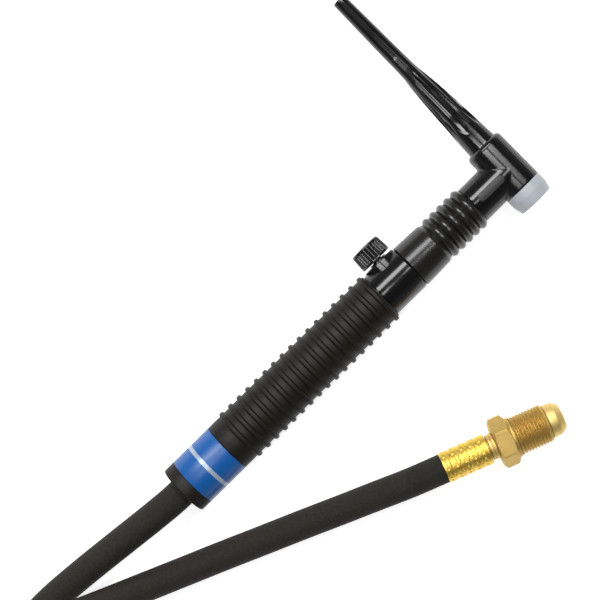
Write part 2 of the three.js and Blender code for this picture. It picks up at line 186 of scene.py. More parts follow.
def hose_finish():
    """Dusty black rubber with the print of its cloth wrap, laid out on the hose's own UV map."""
    finish = Finish("hose_rubber", (0.02, 0.0185, 0.0165), 0.7, Specular_IOR_Level=0.3)
    place = finish.place("UV")
    along = finish.part_of(place, "X") * (THREADS_ALONG * math.tau)
    around = finish.part_of(place, "Y") * (THREADS_ROUND * math.tau)
    threads = along.sine() * around.sine()
    bloom = finish.noise(22 * MM, 3)
    speckle = finish.noise(1.5 * MM, 4)
    dusty = finish.mixed(bloom, (0.008, 0.0074, 0.0055), (0.0142, 0.013, 0.01))
    finish.set("Base Color", finish.mixed((speckle - 0.35) * 1.6, dusty, (0.027, 0.0247, 0.02)))
    finish.set("Roughness", 0.62 + bloom * 0.14 + speckle * 0.1)
    finish.bumped(threads * 0.3 + speckle * 0.7 + 0.3, 0.22 * MM, 1.0)
    return finish.material


def eased(value, start, end):
    """Goes smoothly from 0 to 1 between a start and an end."""
    share = min(max((value - start) / (end - start), 0), 1)
    return share * share * (3 - 2 * share)


HOSE_RADIUS = 8.3
TURN_PITCH = 16.8
COIL_MIDDLE = (-272.2, -45.5)
COIL_OUTER = 106.5
LAYER_TURNS = 2.5
COIL_ENTRY = -5.0
COIL_EXIT = 67.36
COIL_BASE = 9.9
coil_turns = 6 + (COIL_ENTRY - COIL_EXIT) / 360

lead_route = [
    (25, 0, 16.15), (10, 0, 16.15), (-5, 0, 16.1), (-20, 1.1, 15.4), (-40, 3.1, 13.2),
    (-60, 5.1, 10.9), (-78, 6.7, 9.3), (-94, 7.7, 8.8), (-106, 7.4, 8.7), (-121, 3.7, 8.7),
    (-136, -3.8, 8.8), (-149, -15.2, 9.1), (-158.6, -29.2, 9.5), (-164.7, -44.5, 9.8),
]
return_route = [
    (-231.2, 52.8, 43.5), (-203.5, 41.3, 43.2), (-180.4, 31.6, 40.6), (-157.4, 22, 36),
    (-134.3, 12.4, 30.7), (-114.9, 4.3, 26.9), (-95.5, -3.7, 24), (-76.4, -12.4, 20.6),
    (-55.8, -21.5, 17), (-32.9, -31.6, 13.4), (-9.9, -41.6, 10.5), (13.1, -51.7, 8.8),
    (33.7, -60.5, 8.5), (54.3, -69.4, 9), (74, -77.6, 10.7), (91.5, -84.9, 12.5),
    (103.1, -89.4, 12.7),
]


def turn_radius(turns):
    """Two flat spirals, one in and one out, and then a last turn on top at the rim."""
    if turns < LAYER_TURNS:
        return COIL_OUTER - TURN_PITCH * turns
    return min(COIL_OUTER, COIL_OUTER + TURN_PITCH * (turns - 2 * LAYER_TURNS))


def turn_height(turns):
    climbs = eased(turns, 2.35, 2.6) + eased(turns, 4.85, 5.1)
    return COIL_BASE + TURN_PITCH * climbs


def coil_point(turns):
    angle = math.radians(COIL_ENTRY - 360 * turns)
    radius = turn_radius(turns)
    x = COIL_MIDDLE[0] + radius * math.cos(angle)
    y = COIL_MIDDLE[1] + radius * math.sin(angle)
    return (x, y, turn_height(turns))


STEPS_PER_TURN = 24
coil_steps = round(coil_turns * STEPS_PER_TURN)
coil_route = [coil_point(i * coil_turns / coil_steps) for i in range(coil_steps)]

def joint(name):
    return next(j for j in frame["joints"] if j["name"] == name)


bench_origin = Vector((handle_rear.x, handle_rear.y, 0))
nut_spin = joint("connector_nut_spin")
connector_start = Vector(nut_spin["pos_m"])
connector_axis = Vector(nut_spin["axis"]).normalized()

hose_route = [bench_origin + Vector(p) * MM for p in lead_route + coil_route + return_route]
hose_route.append(connector_start + connector_axis * 6 * MM)

hose_curve = bpy.data.curves.new("hose", "CURVE")
hose_curve.dimensions = "3D"
hose_curve.bevel_depth = HOSE_RADIUS * MM
hose_curve.bevel_resolution = 14
hose_curve.resolution_u = 4
hose_curve.use_fill_caps = True
hose_line = hose_curve.splines.new("BEZIER")
hose_line.bezier_points.add(len(hose_route) - 1)
for knot, point in zip(hose_line.bezier_points, hose_route):
    knot.co = point
    knot.handle_left_type = knot.handle_right_type = "AUTO"
hose = bpy.data.objects.new("hose", hose_curve)
bpy.context.scene.collection.objects.link(hose)
hose_curve.materials.append(hose_finish())
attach(hose, "handle")
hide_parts("hose_lead", "hose_coil", "hose_return")


# ---- Coil ties ----
# Two woven hook-and-loop straps hold the wound hose. Each goes once round the bundle and laps
# over its own end on the rim.

TIE_THICKNESS = 1.2
TIE_WIDTH = 20
TIE_SLACK = 0.2
LAP_POINTS = 13
TIE_RAILS = 5
PICKS_ALONG = 320
PICKS_ACROSS = 26


def deselect():
    bpy.ops.object.select_all(action="DESELECT")


def picked(piece):
    """Selects one object alone and makes it the active one."""
    deselect()
    piece.select_set(True)
    bpy.context.view_layer.objects.active = piece


def hull_of(points):
    """The corners of the convex hull of some points, anticlockwise."""
    def half(ordered):
        chain = []
        for p in ordered:
            while len(chain) > 1:
                (ax, ay), (bx, by) = chain[-2:]
                if (bx - ax) * (p[1] - ay) - (by - ay) * (p[0] - ax) > 0:
                    break
                chain.pop()
            chain.append(p)
        return chain[:-1]
    ordered = sorted(points)
    return half(ordered) + half(ordered[::-1])


def band_round(corners, distance, per_arc=8):
    """Points at a distance round a convex polygon, as a tight belt lies round pulleys."""
    band = []
    for i, (x, y) in enumerate(corners):
        (px, py), (nx, ny) = corners[i - 1], corners[(i + 1) % len(corners)]
        first = math.atan2(y - py, x - px) - math.pi / 2
        last = math.atan2(ny - y, nx - x) - math.pi / 2
        turn = (last - first) % math.tau
        for k in range(per_arc + 1):
            angle = first + turn * k / per_arc
            band.append((x + distance * math.cos(angle), y + distance * math.sin(angle)))
    return band


def tie_finish():
    finish = Finish("tie_fabric", (0.012, 0.012, 0.013), 0.9, Sheen_Weight=0.4)
    place = finish.place("UV")
    along = finish.part_of(place, "X") * (PICKS_ALONG * math.tau)
    across = finish.part_of(place, "Y") * (PICKS_ACROSS * math.tau)
    weave = along.sine() * across.sine()
    fuzz = finish.noise(0.5 * MM, 4)
    worn = weave * 0.3 + fuzz * 0.5
    finish.set("Base Color", finish.mixed(worn, (0.008, 0.008, 0.009), (0.035, 0.035, 0.038)))
    finish.set("Roughness", 0.8 + fuzz * 0.2)
    finish.bumped(weave * 0.4 + fuzz * 0.6 + 0.4, 0.15 * MM)
    return finish.material


def tie_path(degrees):
    """The strap's middle line at an angle of the coil, as (radius, height): once round and a lap."""
    first_turn = ((COIL_ENTRY - degrees) % 360) / 360
    crossings = [first_turn + i for i in range(LAYERED_TURNS) if first_turn + i < coil_turns]
    corners = hull_of([(turn_radius(t), turn_height(t)) for t in crossings])
    loop = band_round(corners, HOSE_RADIUS + TIE_SLACK + TIE_THICKNESS / 2)
    lap = band_round(corners, HOSE_RADIUS + TIE_SLACK + 0.05 + TIE_THICKNESS * 1.5)
    count = len(loop)
    rim = max(range(count), key=lambda i: loop[i][0] + 0.2 * loop[i][1])
    start = rim - 4
    path = [loop[(start + i) % count] for i in range(count)]
    return path + [lap[(start + i) % count] for i in range(1, LAP_POINTS + 1)]


def coil_tie(name, degrees):
    """A strap as a strip of faces along its path, given its thickness and soft edges."""
    path = tie_path(degrees)
    rails = [TIE_WIDTH * (k / (TIE_RAILS - 1) - 0.5) for k in range(TIE_RAILS)]
    points = []
    for radius, height in path:
        for offset in rails:
            angle = math.radians(degrees) + offset / radius
            x = COIL_MIDDLE[0] + radius * math.cos(angle)
            y = COIL_MIDDLE[1] + radius * math.sin(angle)
            points.append(bench_origin + Vector((x, y, height)) * MM)
    quads = []
    for i in range(len(path) - 1):
        for k in range(TIE_RAILS - 1):
            here, there = i * TIE_RAILS + k, (i + 1) * TIE_RAILS + k
            quads.append((here, there, there + 1, here + 1))
    mesh = bpy.data.meshes.new(name + "_strap")
    mesh.from_pydata(points, [], quads)
    uv = mesh.uv_layers.new(name="UVMap")
    for corner in mesh.loops:
        row, rail = divmod(corner.vertex_index, TIE_RAILS)
        uv.data[corner.index].uv = (row / len(path), rail / (TIE_RAILS - 1))
    tie = bpy.data.objects.new(name + "_strap", mesh)
    bpy.context.scene.collection.objects.link(tie)
    picked(tie)
    thick = tie.modifiers.new("thickness", "SOLIDIFY")
    thick.thickness = TIE_THICKNESS * MM
    thick.offset = 0
    soft = tie.modifiers.new("soft_edges", "BEVEL")
    soft.width = 0.3 * MM
    soft.segments = 2
    soft.limit_method = "ANGLE"
    bpy.ops.object.modifier_apply(modifier=thick.name)
    bpy.ops.object.modifier_apply(modifier=soft.name)
    bpy.ops.object.shade_smooth_by_angle(angle=math.radians(40))
    mesh.materials.append(tie_material)
    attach(tie, "handle")
    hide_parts(name)
    return tie


LAYERED_TURNS = int(coil_turns) + 1
tie_material = tie_finish()
ties = [coil_tie("coil_tie_1", 105), coil_tie("coil_tie_2", 285)]


# ---- Connector ferrule ----
# A sleeve of bright yellow brass crimped on the hose end. The jaws of the crimping tool left
# rings of short pressed bars in it, in rows along the sleeve.

def arc(radius, station, size, first, last, steps=6):
    """Profile points on an arc: angle 0 points outwards and 90 points along the axis."""
    angles = [math.radians(first + (last - first) * i / steps) for i in range(steps + 1)]
    return [(radius + size * math.cos(a), station + size * math.sin(a)) for a in angles]


def turned(name, profile, origin, axis, steps=96):
    """A piece turned round an axis from a profile of (radius, station) points in millimetres."""
    up = Vector((0, 0, 1))
    points = [origin + (axis * station + up * radius) * MM for radius, station in profile]
    deselect()
    bpy.ops.mesh.primitive_plane_add(size=MM, location=points[0])
    piece = bpy.context.object
    piece.name = name
    piece.data.name = name
    bpy.ops.object.mode_set(mode="EDIT")
    bpy.ops.mesh.select_all(action="SELECT")
    bpy.ops.mesh.merge(type="CENTER")
    for here, there in zip(points, points[1:]):
        bpy.ops.mesh.extrude_vertices_move(TRANSFORM_OT_translate={"value": there - here})
    bpy.ops.mesh.select_all(action="SELECT")
    bpy.ops.mesh.spin(steps=steps, angle=math.tau, center=origin, axis=axis)
    bpy.ops.mesh.select_all(action="SELECT")
    bpy.ops.mesh.remove_doubles(threshold=0.002 * MM)
    bpy.ops.mesh.normals_make_consistent(inside=False)
    bpy.ops.object.mode_set(mode="OBJECT")
    bpy.ops.object.transform_apply(location=True, rotation=True, scale=True)
    return piece


def reshape(piece, origin, axis, new_radius):
    """Moves each point of a turned piece in or out: new_radius(radius, station, angle) in mm."""
    up = Vector((0, 0, 1))
    side = axis.cross(up)
    for vertex in piece.data.vertices:
        offset = (vertex.co - origin) / MM
        station = offset.dot(axis)
        spoke = offset - axis * station
        radius = spoke.length
        if radius < 0.01:
            continue
        angle = math.atan2(spoke.dot(side), spoke.dot(up))
        wanted = new_radius(radius, station, angle)
        vertex.co = origin + (axis * station + spoke * (wanted / radius)) * MM


def finished(piece, body, slot, material, *nodes, smooth=35):
    """Gives a piece its shading, material and body, and hides the CAD nodes it stands for; its slot is
    not used.
    """
    picked(piece)
    bpy.ops.object.shade_smooth_by_angle(angle=math.radians(smooth))
    piece.data.materials.clear()
    piece.data.materials.append(material)
    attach(piece, body)
    if nodes:
        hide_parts(*nodes)
    return piece


FERRULE_LENGTH = 27.1
FERRULE_RADIUS = 8.65
FERRULE_BORE = 8.35
CRIMP_JAWS = 20
RING_PITCH = 5.3
DENT_PITCH = RING_PITCH / 2


def ferrule_profile():
    """The plain sleeve, with its stations close together so that it can take the dents."""
    profile = [(FERRULE_BORE, 0.3), *arc(8.42, 0.25, 0.2, 210, 360, 4)]
    station = 0.8
    while station < FERRULE_LENGTH - 0.7:
        profile.append((FERRULE_RADIUS, station))
        station += 0.2
    profile += arc(FERRULE_RADIUS - 0.5, FERRULE_LENGTH - 0.8, 0.5, 0, 90, 4)
    profile += [(7.5, FERRULE_LENGTH - 0.3), (7.5, 26), (FERRULE_BORE, 25.8), (FERRULE_BORE, 0.3)]
    return profile


def crimped(radius, station, angle):
    """Scallops the sleeve into rings and presses short bars across each of them."""
    if radius < 8.5 or not 0.6 < station < FERRULE_LENGTH - 0.9:
        return radius
    ring = 0.5 + 0.5 * math.cos(math.tau * (station - 2.9) / RING_PITCH)
    row = round((station - 2.0) / DENT_PITCH)
    along = 1 - abs((station - 2.0) / DENT_PITCH - row) * 2
    turn = angle * CRIMP_JAWS / math.tau + 0.1 * math.sin(5 * row)
    across = 1 - abs(turn - round(turn)) * 2
    depth = 0.27 + 0.08 * math.sin(2.9 * row + 4.7 * round(turn))
    dent = depth * eased(along, 0.5, 0.74) * eased(across, 0.16, 0.36)
    far_end = 1 - eased(station, FERRULE_LENGTH - 2.4, FERRULE_LENGTH - 1.4)
    ends = eased(station, 0.8, 1.8) * far_end
    wander = 0.05 * math.sin(3 * angle + 0.9 * station)
    crease = 0.34 * (1 - ring) ** 6
    return radius + ends * (0.26 * (ring - 0.5) - crease - dent + wander)


def brass_finish(name, colour, deep, roughness, axis, grain):
    """Turned metal that dulls in patches of a grain's size, with tool marks across an axis."""
    finish = Finish(name, colour, roughness, 1.0)
    tarnish = finish.noise(grain, 4)
    fine = finish.noise(0.6 * MM, 3)
    tool = finish.along(axis) * (math.tau / (0.22 * MM))
    finish.set("Base Color", finish.mixed(tarnish, colour, deep))
    finish.set("Roughness", roughness + tarnish * 0.1 + fine * 0.08)
    finish.bumped(tool.sine() * 0.25 + fine * 0.5 + tarnish * 0.5 + 0.25, 0.03 * MM, 0.8)
    return finish.material


ferrule_brass = brass_finish(
    "ferrule_brass", (0.94, 0.67, 0.14), (0.74, 0.49, 0.08), 0.38, connector_axis, 5 * MM)
ferrule = turned("ferrule", ferrule_profile(), connector_start, connector_axis, 280)
reshape(ferrule, connector_start, connector_axis, crimped)
finished(ferrule, "handle", "ferrule_brass", ferrule_brass, "connector_ferrule", smooth=60)


# ---- Connector nipple ----
# Turned brass tail of the hose: two small collars behind the nut, a stem through the nut, and a
# rounded nose in front of the thread that seats in the machine's socket. The gas way runs through.

nipple_profile = [
    (2.4, 1), (5.6, 1), (5.6, 27.55), (6.9, 27.6),
    *arc(7.0, 27.95, 0.35, -80, 0, 4), *arc(7.0, 28.85, 0.35, 0, 80, 4),
    (6.6, 29.3), (6.6, 29.55), *arc(7.15, 29.95, 0.35, -80, 0, 4), *arc(7.15, 30.9, 0.35, 0, 80, 4),
    (5.6, 31.3), (5.6, 62.8),
    *arc(9.15, 63.1, 0.3, -90, 0, 3), (9.45, 66.4), *arc(6.9, 66.8, 2.55, 8, 40, 6),
    *arc(6.2, 69.9, 1.5, 30, 90, 6), (3.6, 71.4), *arc(3.6, 70.9, 0.5, 90, 180, 4), (3.1, 69),
    (2.4, 68), (2.4, 1),
]
nose_brass = brass_finish(
    "nose_brass", (0.86, 0.66, 0.27), (0.76, 0.56, 0.2), 0.5, connector_axis, 9 * MM)
nipple = turned("nipple", nipple_profile, connector_start, connector_axis, 96)
finished(nipple, "handle", "ferrule_brass", nose_brass, "connector_nipple")


# ---- Connector nut ----
# Machined brass nut that turns on the nipple: a chamfered hexagon, 1 in across its flats, and a
# 7/8-14 male thread. The thread's helix is cut into the turned blank.

HEX_START = 31.5
HEX_END = 41.1
THREAD_START = 43.3
THREAD_END = 62.4
THREAD_PITCH = 25.4 / 14
THREAD_RADIUS = 11.1
THREAD_DEPTH = 1.05
THREAD_STATIONS = 120
NUT_BORE = 6.1


def boolean(piece, tool, operation):
    """Joins or cuts a piece with a tool object, which is used up."""
    cut = piece.modifiers.new("boolean", "BOOLEAN")
    cut.operation = operation
    cut.solver = "EXACT"
    cut.object = tool
    picked(piece)
    bpy.ops.object.modifier_apply(modifier=cut.name)
    bpy.data.objects.remove(tool)


def joined(piece, *others):
    """Makes several objects one."""
    deselect()
    for other in (piece, *others):
        other.select_set(True)
    bpy.context.view_layer.objects.active = piece
    bpy.ops.object.join()
    return piece


def hexagon():
    """The hexagon, with its corners chamfered by a cone at each end."""
    flats = 25.4
    corner = flats / math.sqrt(3)
    middle = connector_start + connector_axis * (HEX_START + HEX_END) / 2 * MM
    heading = math.atan2(connector_axis.y, connector_axis.x) + math.pi / 2
    deselect()
    bpy.ops.mesh.primitive_cylinder_add(
        vertices=6, radius=corner * MM, depth=(HEX_END - HEX_START) * MM, location=middle,
        rotation=(math.pi / 2, math.radians(30), heading))
    piece = bpy.context.object
    bpy.ops.object.transform_apply(location=True, rotation=True, scale=True)
    bevel = piece.modifiers.new("edges", "BEVEL")
    bevel.width = 0.25 * MM
    bevel.segments = 2
    bpy.ops.object.modifier_apply(modifier=bevel.name)
    cone = [
        (0, HEX_START - 0.1), (flats / 2 - 0.5, HEX_START - 0.1), (corner + 0.2, HEX_START + 1.5),
        (corner + 0.2, HEX_END - 1.7), (flats / 2 - 0.7, HEX_END + 0.1), (0, HEX_END + 0.1),
    ]
    boolean(piece, turned("chamfer", cone, connector_start, connector_axis, 96), "INTERSECT")
    return piece


def thread_blank():
    """The blank for the thread: a washer face, an undercut and a close-stationed cylinder."""
    profile = [(NUT_BORE, HEX_END - 0.2), (11.5, HEX_END - 0.2), (11.5, HEX_END + 1.3)]
    profile += [(11.3, HEX_END + 1.6), (10.1, HEX_END + 1.7), (10.1, THREAD_START - 0.2)]
    for i in range(THREAD_STATIONS + 1):
        station = THREAD_START + (THREAD_END - THREAD_START) * i / THREAD_STATIONS
        profile.append((THREAD_RADIUS, station))
    profile += [(9.4, THREAD_END + 0.1), (NUT_BORE, THREAD_END + 0.1), (NUT_BORE, HEX_END - 0.2)]
    return profile


def threaded(radius, station, angle):
    """Cuts the helix: flat crests, and shallower grooves where the thread starts and ends."""
    if radius < THREAD_RADIUS - 0.1 or station < THREAD_START - 0.1:
        return radius
    turn = (station / THREAD_PITCH + angle / math.tau) % 1
    tooth = abs(turn - 0.5) * 2
    groove = THREAD_DEPTH * min(max((tooth - 0.08) / 0.8, 0), 1)
    lead_in = 1.3 * (1 - eased(THREAD_END - station, 0, 1.5))
    run_out = eased(station, THREAD_START - 0.1, THREAD_START + 1.2)
    return min(THREAD_RADIUS - groove * run_out, THREAD_RADIUS - lead_in)


nut_brass = brass_finish(
    "nut_brass", (0.66, 0.475, 0.165), (0.55, 0.38, 0.11), 0.5, connector_axis, 10 * MM)
nut = hexagon()
bore_profile = [(0, 20), (NUT_BORE, 20), (NUT_BORE, 70), (0, 70)]
boolean(nut, turned("bore", bore_profile, connector_start, connector_axis, 64), "DIFFERENCE")
thread = turned("thread", thread_blank(), connector_start, connector_axis, 120)
reshape(thread, connector_start, connector_axis, threaded)
nut = joined(nut, thread)
nut.name = "union_nut"
finished(nut, "connector_nut", "nut_brass", nut_brass, "connector_nut", smooth=28)


# ---- Handle grip ----
# Tube of satin black thermoplastic with a mouth for the hose at its rear, a shallow recess for
# the label, and narrow round ribs moulded along the rest so that it doesn't slip in a glove.

X = Vector((1, 0, 0))
Y = Vector((0, 1, 0))
HANDLE_LENGTH = 152.5
HANDLE_RADIUS = 14.9
RIB_COUNT = 17
RIB_PITCH = 6.6
FIRST_RIB = 44.5
BAND_START = 7.3
BAND_END = 33.8


def rib(middle, crest, land):
    """One rib: a narrow bead with steep sides, a round top and a small fillet at each foot."""
    side = [
        (land, 1.85), (land + 0.03, 1.66), (land + 0.14, 1.52), (land + 0.45, 1.42), (land + 0.8, 1.32),
        (crest - 0.3, 1.14), (crest - 0.12, 0.92), (crest - 0.02, 0.6), (crest, 0.2),
    ]
    rear = [(radius, middle - offset) for radius, offset in side]
    front = [(radius, middle + offset) for radius, offset in reversed(side)]
    return rear + front


def grip_profile():
    recess = HANDLE_RADIUS - 0.55
    profile = [(9.2, 1.0), *arc(10.0, 0.8, 0.8, 180, 270, 4), (13.6, 0)]
    profile += arc(HANDLE_RADIUS - 1.1, 1.1, 1.1, -80, 0, 6)
    profile += [
        (HANDLE_RADIUS, BAND_START - 0.4), (HANDLE_RADIUS - 0.1, BAND_START - 0.2),
        (recess, BAND_START - 0.2), (recess, BAND_END + 0.2),
        (HANDLE_RADIUS - 0.1, BAND_END + 0.2), (HANDLE_RADIUS, BAND_END + 0.4), (HANDLE_RADIUS, 40.4),
    ]
    for i in range(RIB_COUNT):
        taper = 0.2 * i / (RIB_COUNT - 1)
        profile += rib(FIRST_RIB + i * RIB_PITCH, 16.15 - taper, 14.78 - taper)
    profile += arc(14.1, HANDLE_LENGTH - 0.5, 0.5, 0, 90, 4)
    profile += [(12.2, HANDLE_LENGTH), (12.2, 6), (9.2, 4), (9.2, 1.0)]
    return profile


def grip_finish():
    finish = Finish("grip_black", (0.012, 0.0108, 0.009), 0.5, Specular_IOR_Level=0.25)
    grain = finish.noise(0.45 * MM, 3)
    wear = finish.noise(14 * MM, 4)
    finish.set("Base Color", finish.mixed(wear, (0.0042, 0.0034, 0.0021), (0.01, 0.0084, 0.0056)))
    finish.set("Roughness", 0.4 + grain * 0.12 + wear * 0.14)
    finish.bumped(grain, 0.09 * MM, 0.9)
    return finish.material


grip = turned("grip", grip_profile(), handle_rear, X, 128)
grip_black = grip_finish()
finished(grip, "handle", "grip_black", grip_black, "handle_grip", smooth=50)


# ---- Label band ----
# Printed polyester film wrapped round the handle's rear: blue with a plain silver line. It
# carries no name or lettering.

def band_finish():
    finish = Finish("label_blue", (0.003, 0.09, 0.38), 0.3, Coat_Weight=0.06)
    finish.set("Coat Roughness", 0.12)
    station = finish.along(X) - handle_rear.x
    off_line = (station - 19.9 * MM).size()
    silver = off_line < 1.15 * MM
    print_grain = finish.noise(1.2 * MM, 2)
    blue = finish.mixed(print_grain, (0.001, 0.078, 0.3), (0.0015, 0.09, 0.34))
    finish.set("Base Color", finish.mixed(silver, blue, (0.36, 0.43, 0.52)))
    finish.set("Roughness", 0.34 + finish.noise(6 * MM, 3) * 0.12)
    finish.set("Metallic", silver * 0.3)
    finish.bumped(finish.noise(3 * MM, 2), 0.02 * MM, 0.5)
    return finish.material


band_profile = [
    (14.5, BAND_START), (HANDLE_RADIUS - 0.05, BAND_START), (HANDLE_RADIUS + 0.02, BAND_START + 0.12),
    (HANDLE_RADIUS + 0.02, BAND_END - 0.12), (HANDLE_RADIUS - 0.05, BAND_END), (14.5, BAND_END),
    (14.5, BAND_START),
]
band = turned("label", band_profile, handle_rear, X, 128)
finished(band, "handle", "label_blue", band_finish(), "label_band")


# ---- Valve housing ----
# Glossy black moulding over the brass valve body. Its tail fits inside the handle, and a low
# round boss on its side takes the gas valve's spindle.

VALVE_X = 164.8
HOUSING_RADIUS = 13.6
HOUSING_END = 174.95
BOSS_RADIUS = 10.1
BOSS_TOP = 14.4
valve_foot = handle_rear + X * VALVE_X * MM


def gloss_finish(name, roughness, ripple, tint=(0.0035, 0.0035, 0.0038)):
    """Polished black moulding, with the faint flow and ripple that it took from its mould."""
    finish = Finish(name, tint, roughness, Specular_IOR_Level=0.5)
    flow = finish.noise(11 * MM, 3)
    fine = finish.noise(0.5 * MM, 3)
    dulled = tuple(c * 1.9 for c in tint)
    finish.set("Base Color", finish.mixed(flow, tint, dulled))
    finish.set("Roughness", roughness + flow * 0.06 + fine * 0.05)
    finish.bumped(flow * 0.8 + fine * 0.2, ripple, 0.6)
    return finish.material


housing_profile = [
    (0, 134), (11.9, 134), (11.9, HANDLE_LENGTH + 0.3), (13.0, HANDLE_LENGTH + 0.3),
    *arc(HOUSING_RADIUS - 0.5, HANDLE_LENGTH + 0.8, 0.5, -80, 0, 5),
    *arc(HOUSING_RADIUS - 0.6, HOUSING_END - 0.9, 0.6, 0, 60, 5), (12.9, HOUSING_END - 0.1),
    (12.7, HOUSING_END), (0, HOUSING_END),
]
boss_profile = [
    (0, 5), (BOSS_RADIUS, 5), (BOSS_RADIUS, BOSS_TOP - 0.6),
    *arc(BOSS_RADIUS - 0.5, BOSS_TOP - 0.5, 0.5, 10, 85, 4), (0, BOSS_TOP),
]
gloss_black = gloss_finish("gloss_black", 0.12, 0.01 * MM)
housing = turned("housing", housing_profile, handle_rear, X, 128)
boolean(housing, turned("boss", boss_profile, valve_foot, Y, 96), "UNION")
way_profile = [(0, 4), (5.6, 4), (5.6, 16), (0, 16)]
boolean(housing, turned("way", way_profile, valve_foot, Y, 48), "DIFFERENCE")
hollow_profile = [(0, 130), (8.9, 130), (8.9, 180), (0, 180)]
boolean(housing, turned("hollow", hollow_profile, handle_rear, X, 64), "DIFFERENCE")
finished(housing, "handle", "gloss_black", gloss_black, "valve_housing", smooth=30)


# ---- Valve gland ----
# Small brass gland nut, blackened, screwed into the boss. It guides the spindle and holds the
# bore that the spindle's O-ring seals in.

gland_profile = [
    (3.4, 8.8), (5.3, 8.8), (5.3, 14.3), *arc(5.0, 14.9, 0.3, 0, 90, 4), (3.7, 15.2), (3.4, 14.9),
    (3.4, 8.8),
]
gland = turned("gland", gland_profile, valve_foot, Y, 48)
finished(gland, "handle", "nut_brass", gloss_black, "valve_gland")


# ---- Valve knob ----
# Moulded black knob, pressed on the spindle. Fine flutes run up its side between a plain rim at
# its foot and a rounded shoulder at its top.

KNOB_BASE = 15.8
KNOB_TOP = 26.4
FLUTES_END = 24.3
FLUTES = 24
FLUTE_DEPTH = 0.85

knob_profile = [
    (0, FLUTES_END), (3.3, FLUTES_END), (3.3, KNOB_BASE), (8.9, KNOB_BASE),
    *arc(9.2, KNOB_BASE + 0.45, 0.45, -60, 0, 4),
    (9.62, KNOB_BASE + 0.8), (9.6, KNOB_BASE + 1.1), (9.58, KNOB_BASE + 1.35),
    (9.55, KNOB_BASE + 1.6), (9.5, 18.6), (9.4, 20.4), (9.3, 22.2), (9.22, 23.6),
    (9.18, FLUTES_END), (9.16, FLUTES_END + 0.3), (9.12, FLUTES_END + 0.6),
    *arc(8.45, 25.1, 0.65, 0, 75, 5), (6.5, 26.0), (3.4, 26.3), (0, KNOB_TOP),
]


def knob_flutes(radius, station, angle):
    """Leaves round lands between narrow V grooves, from one rim to the other."""
    if radius < 7.5:
        return radius
    above_rim = eased(station, KNOB_BASE + 1.1, KNOB_BASE + 1.6)
    below_shoulder = 1 - eased(station, FLUTES_END, FLUTES_END + 0.6)
    land = abs(math.cos(FLUTES * angle / 2)) ** 0.8
    return radius - FLUTE_DEPTH * above_rim * below_shoulder * (1 - land)


knob_gloss = gloss_finish("knob_gloss", 0.16, 0.006 * MM)
knob = turned("knob", knob_profile, valve_foot, Y, FLUTES * 10)
reshape(knob, valve_foot, Y, knob_flutes)
finished(knob, "valve_knob", "gloss_black", knob_gloss, "valve_knob", smooth=40)


# ---- Neck boot ----
# Flexible black silicone boot over the annealed copper neck: a plain cuff that grips the valve
# body, then round bellows that let the neck bend either way. The bellows bend at two places, so
# the boot is made in two lengths that meet unseen at the bottom of a groove.

CUFF_END = 194.5
BELLOWS_END = 223
BELLOWS_PITCH = 5.36
FIRST_RIDGE = 198.6
RIDGE = 13.55
VALLEY = 11.7
BOOT_BORE = 8.3
swing = joint("neck_swing")
tilt = joint("neck_tilt")


def ridge_radius(station):
    """The bellows' outer radius: round ridges with tighter round grooves between them."""
    phase = (station - FIRST_RIDGE) / BELLOWS_PITCH
    off = abs(phase - round(phase)) * 2
    wave = (1 - off ** 1.9) ** 0.95
    return VALLEY + (RIDGE - VALLEY) * wave


def bellows(start, end, steps):
    """Profile points along the bellows."""
    stations = [start + (end - start) * i / steps for i in range(steps + 1)]
    return [(ridge_radius(s), s) for s in stations]


boot_gloss = gloss_finish("boot_gloss", 0.2, 0.03 * MM, (0.007, 0.0065, 0.006))
ridge_start = FIRST_RIDGE - BELLOWS_PITCH / 2
parting = FIRST_RIDGE + 1.5 * BELLOWS_PITCH
rear_profile = [
    (BOOT_BORE, HOUSING_END + 0.1), (12.7, HOUSING_END + 0.1), (12.9, HOUSING_END + 0.2),
    *arc(12.95, HOUSING_END + 1.0, 0.75, -55, 0, 5), (13.45, 185), (13.15, CUFF_END - 2.0),
    *arc(12.0, CUFF_END - 1.6, 1.1, 0, 55, 5), (11.95, ridge_start - 0.25),
    *bellows(ridge_start, parting, 48), (BOOT_BORE, parting), (BOOT_BORE, HOUSING_END + 0.1),
]
front_profile = [
    (BOOT_BORE, parting), *bellows(parting, FIRST_RIDGE + 4.5 * BELLOWS_PITCH, 54),
    (11.62, BELLOWS_END - 0.1), (BOOT_BORE, BELLOWS_END - 0.1), (BOOT_BORE, parting),
]


def bend(piece, material):
    """Gives a flexible piece its smooth shading and material, and fixes its placement in its mesh."""
    picked(piece)
    bpy.ops.object.shade_smooth_by_angle(angle=math.radians(45))
    piece.data.materials.append(material)
    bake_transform(piece)


boot_halves = (
    ("boot_rear", rear_profile, ("handle", "flex_neck"), swing),
    ("boot_front", front_profile, ("flex_neck", "head"), tilt),
)
for name, profile, bodies, hinge in boot_halves:
    boot = turned(name, profile, handle_rear, X, 96)
    bend(boot, boot_gloss)
    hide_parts("neck_boot")


# ---- Neck tube ----
# Annealed copper tube inside the boot, ringed so that it bends without kinking. It carries the
# current and the gas to the head, and bends with the boot.

TUBE_START = 197.3
TUBE_END = 219.7
TUBE_RADIUS = 5.2
TUBE_BORE = 3.2
TUBE_WAVE = 0.15
TUBE_PITCH = 1.6
copper = brass_finish("copper", (0.78, 0.38, 0.2), (0.62, 0.28, 0.13), 0.3, Y, 8 * MM)


def rings(start, end, steps):
    """Profile points of the ringed wall: shallow waves at a close pitch."""
    stations = [start + (end - start) * i / steps for i in range(steps + 1)]
    return [
        (TUBE_RADIUS - TUBE_WAVE + TUBE_WAVE * math.cos(math.tau * s / TUBE_PITCH), s)
        for s in stations
    ]


